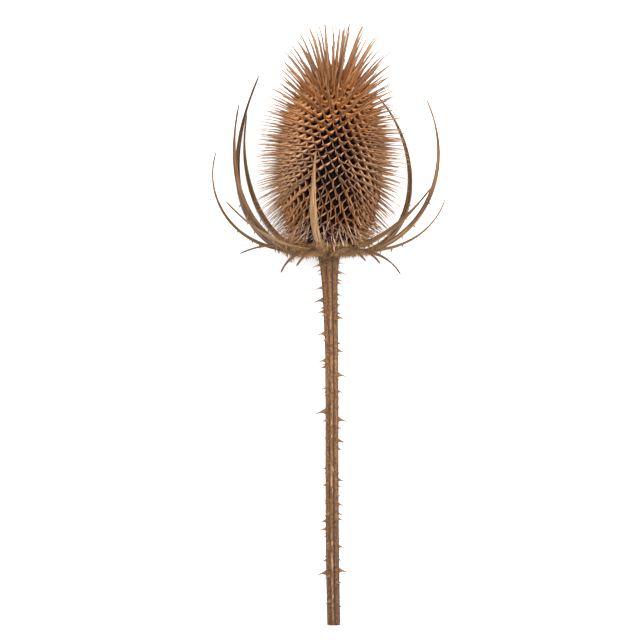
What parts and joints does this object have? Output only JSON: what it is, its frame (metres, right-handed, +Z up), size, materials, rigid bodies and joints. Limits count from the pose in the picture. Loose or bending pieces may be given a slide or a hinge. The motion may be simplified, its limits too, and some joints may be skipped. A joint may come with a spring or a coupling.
{
  "type": "teasel seed head",
  "caption": "Dried egg-shaped seed head of spiny paleae in a honeycomb, ringed by long upcurved bracts, on a cut prickly stem, lying on its side.",
  "frame": {"origin": "middle of the bounding box's underside, on the surface that the plant lies on", "axes": "+Z up from the surface; +Y along the plant from the cut end towards the tip of the head; +X to the right seen from above with the tip away"},
  "size_m": [0.0778, 0.1984, 0.0626],
  "materials": {
    "palea": "matt",
    "stem": "matt",
    "bract": "matt"
  },
  "bodies": {
    "root": {"seed_head": "palea", "stem": "stem", "bract_right_outer": "bract", "bract_right_long": "bract", "bract_right_front": "bract", "bract_front": "bract", "bract_left_slender": "bract", "bract_left_front": "bract", "bract_left_outer": "bract", "bract_left_long": "bract", "bract_left_back": "bract", "bract_under_left": "bract", "bract_under_right": "bract", "bract_right_back": "bract", "spur_right_long": "bract", "spur_right_mid": "bract", "spur_right_short": "bract", "spur_left_short": "bract", "spur_left_mid": "bract", "spur_left_long": "bract", "spur_back_left": "bract", "spur_back_right": "bract"}
  },
  "joints": []
}
